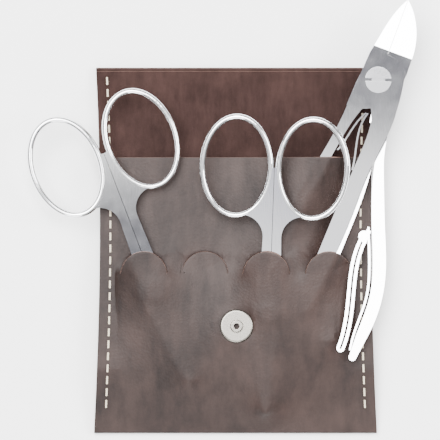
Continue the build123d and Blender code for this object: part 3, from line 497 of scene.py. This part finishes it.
@dataclass
class Studio:
    """Floor, lights and camera: a pale table seen from straight above."""

    centre: tuple[float, float] = (-0.4 * MM, -0.7 * MM)
    frame_width: float = 132.0 * MM
    camera_height: float = 1.25
    object_height: float = 8.0 * MM

    def build(self, finishes: Finishes) -> None:
        """Builds the floor, the lights and the camera.

        Args:
            finishes: Where the floor's finish comes from.
        """
        deselect_all()
        bpy.ops.mesh.primitive_plane_add(size=3.0, location=(0.0, 0.0, 0.0))
        floor = bpy.context.object
        floor.name = "floor"
        floor.data.materials.append(finishes.paper())
        settle(floor)
        self._softbox("softbox_above", (-0.25, 0.35, 1.1), 0.9, 46.0)
        self._softbox("softbox_right", (0.8, 0.1, 0.7), 0.5, 13.0)
        self._softbox("strip_front", (-0.1, -0.9, 0.6), 0.5, 8.0)
        self._world()
        self._camera()

    def _softbox(self, name: str, place: tuple[float, float, float], size: float, power: float) -> None:
        """Adds one square area light that points at the case."""
        light = bpy.data.lights.new(name, "AREA")
        light.size = size
        light.energy = power
        lamp = bpy.data.objects.new(name, light)
        bpy.context.scene.collection.objects.link(lamp)
        lamp.location = place
        lamp.rotation_euler = (-Vector(place)).to_track_quat("-Z", "Y").to_euler()

    def _world(self) -> None:
        """Paints the room: bright above, dark towards the horizon, so that metal has contrast."""
        world = bpy.data.worlds.new("studio_room")
        bpy.context.scene.world = world
        world.use_nodes = True
        tree = world.node_tree
        nodes = tree.nodes
        place = nodes.new("ShaderNodeTexCoord")
        parts = nodes.new("ShaderNodeSeparateXYZ")
        ramp = nodes.new("ShaderNodeValToRGB")
        stops = ramp.color_ramp.elements
        stops[0].position, stops[0].color = 0.0, (0.05, 0.05, 0.05, 1.0)
        stops[1].position, stops[1].color = 1.0, (1.0, 1.0, 1.0, 1.0)
        for position, tone in HORIZON_TONES:
            stop = stops.new(position)
            stop.color = (tone, tone, tone, 1.0)
        off_zenith = nodes.new("ShaderNodeMath")
        off_zenith.operation = "MULTIPLY_ADD"
        off_zenith.inputs[1].default_value = -25.0
        off_zenith.inputs[2].default_value = 25.0
        overhead = nodes.new("ShaderNodeValToRGB")
        spots = overhead.color_ramp.elements
        spots[0].position, spots[0].color = 0.0, (1.0, 1.0, 1.0, 1.0)
        spots[1].position, spots[1].color = 1.0, (1.0, 1.0, 1.0, 1.0)
        for position, tone in OVERHEAD_TONES:
            spot = spots.new(position)
            spot.color = (tone, tone, min(1.0, 1.12 * tone), 1.0)
        both = nodes.new("ShaderNodeMixRGB")
        both.blend_type = "MULTIPLY"
        both.inputs["Fac"].default_value = 1.0
        wire(
            tree,
            (place.outputs["Generated"], parts.inputs["Vector"]),
            (parts.outputs["Z"], ramp.inputs["Fac"]),
            (parts.outputs["Z"], off_zenith.inputs[0]),
            (off_zenith.outputs["Value"], overhead.inputs["Fac"]),
            (ramp.outputs["Color"], both.inputs["Color1"]),
            (overhead.outputs["Color"], both.inputs["Color2"]),
            (both.outputs["Color"], nodes["Background"].inputs["Color"]),
        )
        nodes["Background"].inputs["Strength"].default_value = 2.1

    def _camera(self) -> None:
        """Adds the camera, straight above the case, framed as the photograph is."""
        camera = bpy.data.cameras.new("camera")
        camera.sensor_width = 36.0
        camera.lens = 36.0 * (self.camera_height - self.object_height) / self.frame_width
        camera.clip_end = 20.0
        holder = bpy.data.objects.new("camera", camera)
        bpy.context.scene.collection.objects.link(holder)
        holder.location = (*self.centre, self.camera_height)
        bpy.context.scene.camera = holder


# Leather ---------------------------------------------------------------------------------------


class ToolHeights:
    """Measures how high the tools of the frame stand, for the leather to lie over or under."""

    def __init__(self, nodes: dict[str, bpy.types.Object], names: Iterable[str]) -> None:
        """Collects the meshes of some nodes into one search tree.

        Args:
            nodes: The frame's nodes by name.
            names: Which of them to measure.
        """
        places: list[Vector] = []
        faces: list[tuple[int, ...]] = []
        for name in names:
            mesh = nodes[name].data
            start = len(places)
            places += [vertex.co.copy() for vertex in mesh.vertices]
            faces += [tuple(start + index for index in face.vertices) for face in mesh.polygons]
        self.tree = BVHTree.FromPolygons(places, faces)

    def top(self, x: float, y: float) -> float:
        """Returns the highest surface at a place, or a large negative height."""
        hit = self.tree.ray_cast(Vector((x, y, 0.1)), Vector((0.0, 0.0, -1.0)))[0]
        return hit.z if hit else -1.0

    def bottom(self, x: float, y: float) -> float:
        """Returns the lowest surface at a place, or a large height."""
        hit = self.tree.ray_cast(Vector((x, y, -0.1)), Vector((0.0, 0.0, 1.0)))[0]
        return hit.z if hit else 1.0

    def around(self, x: float, y: float, reach: float, low: bool) -> float:
        """Returns the top, or with low the bottom, of the tools within a reach of a place."""
        turns = [step * math.pi / 4 for step in range(8)]
        spots = [(x, y)] + [(x + reach * math.cos(turn), y + reach * math.sin(turn)) for turn in turns]
        return min(self.bottom(*spot) for spot in spots) if low else max(self.top(*spot) for spot in spots)


@dataclass
class CaseLeather:
    """The strip of leather: front with its tongues, bottom fold, back and top roll."""

    nodes: dict[str, bpy.types.Object]
    origin: tuple[float, float]
    finishes: tuple[bpy.types.Material, bpy.types.Material, bpy.types.Material]
    top_half_width: float = 42.0 * MM
    waist_half_width: float = 40.8 * MM
    bottom_half_width: float = 42.6 * MM
    waist_y: float = 8.0 * MM
    cell: float = TONGUE_RADIUS / 10
    tongue_margin: float = 2.2 * MM
    clearance: float = 0.18 * MM
    relax_rounds: int = 700
    columns: list[float] = field(default_factory=list, init=False)

    def half_width(self, y: float) -> float:
        """Returns half the width of the case at a distance along it."""
        if y > self.waist_y:
            share = (y - self.waist_y) / (TOP_FOLD_Y - self.waist_y)
            return self.waist_half_width + (self.top_half_width - self.waist_half_width) * share**2
        share = (self.waist_y - y) / (self.waist_y - BOTTOM_FOLD_Y)
        return self.waist_half_width + (self.bottom_half_width - self.waist_half_width) * share**2

    @staticmethod
    def back_level(y: float) -> float:
        """Returns the height of the back panel's top, as the frame has it."""
        stops = ((-53.4, 1.1), (-35.0, 4.75), (-20.0, 4.75), (54.5, 2.4))
        return float(np.interp(y / MM, [stop[0] for stop in stops], [stop[1] for stop in stops])) * MM

    def _column_places(self) -> list[float]:
        """Spaces the columns so that each tongue's slit falls on whole cells."""
        places: list[float] = []
        edge = -self.bottom_half_width
        for centre in TONGUE_CENTRES:
            start = centre - TONGUE_RADIUS
            steps = max(2, round((start - edge) / self.cell))
            places += [edge + (start - edge) * step / steps for step in range(steps)]
            places += [start + self.cell * step for step in range(20)]
            edge = centre + TONGUE_RADIUS
        steps = round((self.bottom_half_width - edge) / self.cell)
        places += [edge + (self.bottom_half_width - edge) * step / steps for step in range(steps + 1)]
        return places

    def _sheet(self, name: str, rows: list[tuple[float, float]]) -> bpy.types.Object:
        """Makes a sheet from a grid, with one row of cells between each two stations.

        Args:
            name: The object's name.
            rows: The stations along the strip, as (y, height of the middle of the leather).

        Returns:
            The sheet, whose vertices stand row by row.
        """
        deselect_all()
        bpy.ops.mesh.primitive_grid_add(
            x_subdivisions=len(self.columns) - 1, y_subdivisions=len(rows) - 1, size=1.0, location=(0, 0, 0)
        )
        sheet = bpy.context.object
        sheet.name = name
        sheet.data.name = name
        places = coordinates(sheet)
        column = np.rint((places[:, 0] + 0.5) * (len(self.columns) - 1)).astype(int)
        row = np.rint((places[:, 1] + 0.5) * (len(rows) - 1)).astype(int)
        ys = np.array([station[0] for station in rows])[row]
        zs = np.array([station[1] for station in rows])[row]
        xs = np.array(self.columns)[column]
        widths = np.array([self.half_width(station[0]) for station in rows])[row]
        inner = SEAM_START_X
        outside = np.abs(xs) > inner
        stretched = inner + (np.abs(xs) - inner) * (widths - inner) / (self.bottom_half_width - inner)
        xs = np.where(outside, np.sign(xs) * stretched, xs)
        set_coordinates(sheet, np.stack([xs, ys, zs], axis=1))
        return sheet

    def _front(self) -> bpy.types.Object:
        """Makes the front panel flat, with its tongues cut free along the slits."""
        lower = np.linspace(BOTTOM_FOLD_Y, SLIT_Y, 66)[:-1]
        tongue = [SLIT_Y + self.cell * step for step in range(14)]
        upper = np.linspace(tongue[-1], MOUTH_Y, 38)[1:]
        rows = [(float(y), 0.0) for y in (*lower, *tongue, *upper)]
        sheet = self._sheet("case_front_leather", rows)
        places = coordinates(sheet)
        slit_points = np.zeros(len(places), bool)
        outer = TONGUE_RADIUS + self.tongue_margin
        for centre in TONGUE_CENTRES:
            u, v = places[:, 0] - centre, places[:, 1] - SLIT_Y
            reach = np.maximum(np.abs(u), v)
            above = v > -1e-6
            on_slit = above & (np.abs(reach - TONGUE_RADIUS) < 2e-5)
            slit_points |= on_slit
            length = np.hypot(u, v)
            length[length == 0] = 1.0
            roundness = 1.0 - smooth_step(reach, TONGUE_RADIUS, outer)
            factor = np.where(above & (reach < outer), (1 - roundness) + roundness * reach / length, 1.0)
            places[:, 0] = centre + u * factor
            places[:, 1] = SLIT_Y + v * factor
        set_coordinates(sheet, places)
        zone = sheet.data.attributes.new("tongue_zone", "INT", "FACE")
        for face in sheet.data.polygons:
            middle = face.center
            near = min(TONGUE_CENTRES, key=lambda c: abs(middle.x - c))
            held = math.hypot(middle.x - near, middle.y - SLIT_Y) < TONGUE_RADIUS
            zone.data[face.index].value = int(middle.y < SLIT_Y or held)
        make_active(sheet)
        bpy.ops.object.mode_set(mode="EDIT")
        bpy.ops.mesh.select_mode(type="EDGE")
        bpy.ops.mesh.select_all(action="DESELECT")
        bpy.ops.object.mode_set(mode="OBJECT")
        for edge in sheet.data.edges:
            first, second = edge.vertices
            edge.select = bool(slit_points[first] and slit_points[second] and self._along_slit(sheet, edge))
        bpy.ops.object.mode_set(mode="EDIT")
        bpy.ops.mesh.edge_split(type="EDGE")
        bpy.ops.object.mode_set(mode="OBJECT")
        return sheet

    @staticmethod
    def _along_slit(sheet: bpy.types.Object, edge: bpy.types.MeshEdge) -> bool:
        """Tells whether an edge's middle lies on the curve of a slit."""
        middle = sum((sheet.data.vertices[index].co for index in edge.vertices), Vector()) / 2
        near = min(TONGUE_CENTRES, key=lambda c: abs(middle.x - c))
        reach = math.hypot(middle.x - near, middle.y - SLIT_Y)
        return abs(reach - TONGUE_RADIUS) < 0.1 * MM and middle.y > SLIT_Y

    def _drape(self, sheet: bpy.types.Object) -> None:
        """Lets the front lie taut over what is behind it and under what is before it.

        Args:
            sheet: The flat front panel, cut free along its slits.
        """
        count = len(sheet.data.vertices)
        places = coordinates(sheet)
        zone = np.zeros(count, int)
        for face in sheet.data.polygons:
            value = sheet.data.attributes["tongue_zone"].data[face.index].value
            for index in face.vertices:
                zone[index] = max(zone[index], value) if value else zone[index]
        shift_x, shift_y = self.origin
        in_slots = ToolHeights(
            self.nodes,
            (
                "left_scissors_left_half", "left_scissors_right_half", "left_scissors_screw",
                "centre_scissors_left_half", "centre_scissors_right_half", "centre_scissors_screw",
                "nail_nipper_front_half", "nail_nipper_back_half", "cuticle_nipper_inner_half", "snap_post",
            ),
        )
        under_upper = ToolHeights(self.nodes, ("nail_nipper_back_half",))
        over_upper = ToolHeights(
            self.nodes,
            (
                "left_scissors_left_half", "left_scissors_right_half", "centre_scissors_left_half",
                "centre_scissors_right_half", "nail_nipper_front_half", "cuticle_nipper_inner_half",
                "cuticle_nipper_outer_half",
            ),
        )
        over_lower = ToolHeights(
            self.nodes, ("cuticle_nipper_outer_half", "clasp_strip", "clasp_bow", "clasp_rivet")
        )
        lows, highs = np.empty(count), np.empty(count)
        half = LEATHER / 2
        sewn = np.array([self.back_level(y) for y in places[:, 1]]) + SEWN_GAP + half
        for index, (x, y, _) in enumerate(places):
            below, above = (in_slots, over_lower) if zone[index] else (under_upper, over_upper)
            place = (x + shift_x, y + shift_y, TOOL_REACH)
            lows[index] = below.around(*place, low=False) + self.clearance + half
            highs[index] = above.around(*place, low=True) - self.clearance - half
        lows = np.maximum(lows, sewn)
        held = (np.abs(places[:, 0]) > SEAM_X) | (places[:, 1] < BOTTOM_FOLD_Y + 0.2 * MM)
        lows[held] = sewn[held]
        highs = np.maximum(highs, lows)
        highs[held] = sewn[held]
        edges = np.empty(len(sheet.data.edges) * 2, int)
        sheet.data.edges.foreach_get("vertices", edges)
        first, second = edges[0::2], edges[1::2]
        degree = np.bincount(first, minlength=count) + np.bincount(second, minlength=count)
        heights = np.clip(sewn + START_LIFT, lows, highs)
        snap = np.hypot(places[:, 0] - SNAP_PLACE[0], places[:, 1] - SNAP_PLACE[1]) < SNAP_SEAT_RADIUS
        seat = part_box("snap_stud")[0][2] - half
        for _ in range(self.relax_rounds):
            total = np.bincount(first, weights=heights[second], minlength=count)
            total += np.bincount(second, weights=heights[first], minlength=count)
            heights = np.clip(total / degree, lows, highs)
            heights[snap] = seat
        places[:, 2] = heights
        set_coordinates(sheet, places)

    def _thicken(self, sheet: bpy.types.Object) -> None:
        """Gives a sheet its thickness, its two sides and its slightly rounded cut edges."""
        for material in self.finishes:
            sheet.data.materials.append(material)
        wall = sheet.modifiers.new("thickness", "SOLIDIFY")
        wall.thickness = LEATHER
        wall.offset = 0.0
        wall.use_even_offset = False
        wall.material_offset = 1
        # The rims take the cut edge finish, whose lighter brown is partly painted highlight.
        wall.material_offset_rim = 2
        rounding = sheet.modifiers.new("cut_edge", "BEVEL")
        rounding.width = 0.16 * MM
        rounding.segments = 2
        rounding.limit_method = "ANGLE"
        rounding.angle_limit = math.radians(50.0)
        apply_modifiers(sheet)
        places = coordinates(sheet)
        places[:, 0] += self.origin[0]
        places[:, 1] += self.origin[1]
        set_coordinates(sheet, places)
        settle(sheet, 35.0)

    def _strip_rows(self, low_y: float, high_y: float, count: int, level: Callable[[float], float]) -> list:
        """Returns stations from high to low along a straight stretch of the strip."""
        return [(float(y), level(float(y))) for y in np.linspace(high_y, low_y, count)]

    def build(self) -> list[bpy.types.Object]:
        """Builds the whole strip.

        Returns:
            The case leather and the top roll.
        """
        self.columns = self._column_places()
        half = LEATHER / 2
        front = self._front()
        self._drape(front)
        back_rows = self._strip_rows(BOTTOM_FOLD_Y, TOP_FOLD_Y, 60, lambda y: self.back_level(y) - half)
        centre_z, radius = 1.15 * MM, 0.6 * MM
        fold_rows = [
            (BOTTOM_FOLD_Y - radius * math.sin(angle), centre_z - radius * math.cos(angle))
            for angle in np.linspace(0.0, math.pi, 9)[1:]
        ]
        back = self._sheet("case_back_leather", back_rows + fold_rows)
        self._crease(back)
        case = self._join("case_leather", front, back)
        self._thicken(case)
        roll_z, roll_radius = 1.2 * MM, 0.65 * MM
        roll = self._sheet(
            "top_fold_roll",
            [
                (TOP_FOLD_Y + roll_radius * math.sin(angle), roll_z + roll_radius * math.cos(angle))
                for angle in np.linspace(math.pi, 0.0, 11)
            ],
        )
        self._thicken(roll)
        return [case, roll]

    @staticmethod
    def _crease(sheet: bpy.types.Object) -> None:
        """Presses shallow upright creases into the open top of the back panel."""
        places = coordinates(sheet)
        x, y = places[:, 0] / MM, places[:, 1] / MM
        fade = smooth_step(y, 24.0, 34.0)
        for centre, depth, width, lean in CREASES:
            offset = x - centre - lean * (y - 40.0)
            places[:, 2] -= fade * depth * MM * np.exp(-((offset / width) ** 2))
        places[:, 2] += fade * 0.12 * MM * np.sin(x / 6.1 + 0.9) * np.sin(y / 9.0)
        set_coordinates(sheet, places)

    @staticmethod
    def _join(name: str, *sheets: bpy.types.Object) -> bpy.types.Object:
        """Joins sheets that share a row into one and merges that row."""
        make_active(sheets[0])
        for sheet in sheets[1:]:
            sheet.select_set(True)
        bpy.ops.object.join()
        joined = bpy.context.object
        joined.name = name
        bpy.ops.object.mode_set(mode="EDIT")
        bpy.ops.mesh.select_all(action="DESELECT")
        bpy.ops.mesh.select_mode(type="VERT")
        bpy.ops.object.mode_set(mode="OBJECT")
        for vertex in joined.data.vertices:
            vertex.select = abs(vertex.co.y - BOTTOM_FOLD_Y) < 0.05 * MM
        bpy.ops.object.mode_set(mode="EDIT")
        bpy.ops.mesh.remove_doubles(threshold=0.12 * MM)
        bpy.ops.object.mode_set(mode="OBJECT")
        return joined


def main() -> None:
    """Builds the set around its frame, one sub-assembly after another."""
    logging.basicConfig(level=logging.INFO, format="%(message)s")
    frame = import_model()
    nodes = frame["nodes"]
    finishes = Finishes()
    Studio().build(finishes)
    log.info("studio")

    low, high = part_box("snap_stud")
    origin = ((low[0] + high[0]) / 2 - SNAP_PLACE[0], (low[1] + high[1]) / 2 - SNAP_PLACE[1])
    grain = finishes.leather(GRAIN_SIDE)
    flesh = finishes.leather(FLESH_SIDE)
    # The cut edge finish is lighter partly as raw leather and partly as painted highlight along the rims.
    cut = finishes.leather(CUT_EDGE_WITH_PAINTED_HIGHLIGHT)
    case = CaseLeather(nodes, origin, (grain, flesh, cut))
    leather, roll = case.build()
    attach(leather, "case")
    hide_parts("front_panel", "back_panel")
    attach(roll, "case")
    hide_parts("top_fold")
    log.info("leather")

    steel = finishes.steel(MIRROR_STEEL)
    dark_steel = finishes.steel(SCREW_STEEL)
    nickel = finishes.steel(SATIN_NICKEL)
    thread = finishes.thread()
    dress = {
        "leather": flesh,
        "thread": thread,
        "polished_steel": steel,
        "spring_steel": steel,
        "snap_nickel": nickel,
    }
    slots = {entry["node"]: entry["material_slot"] for entry in frame["record"]["subparts"]}
    for name, node in nodes.items():
        node.data.materials.clear()
        node.data.materials.append(dark_steel if name.endswith("screw") else dress[slots[name]])
    log.info("frame's own nodes dressed")


if __name__ == "__main__":
    main()
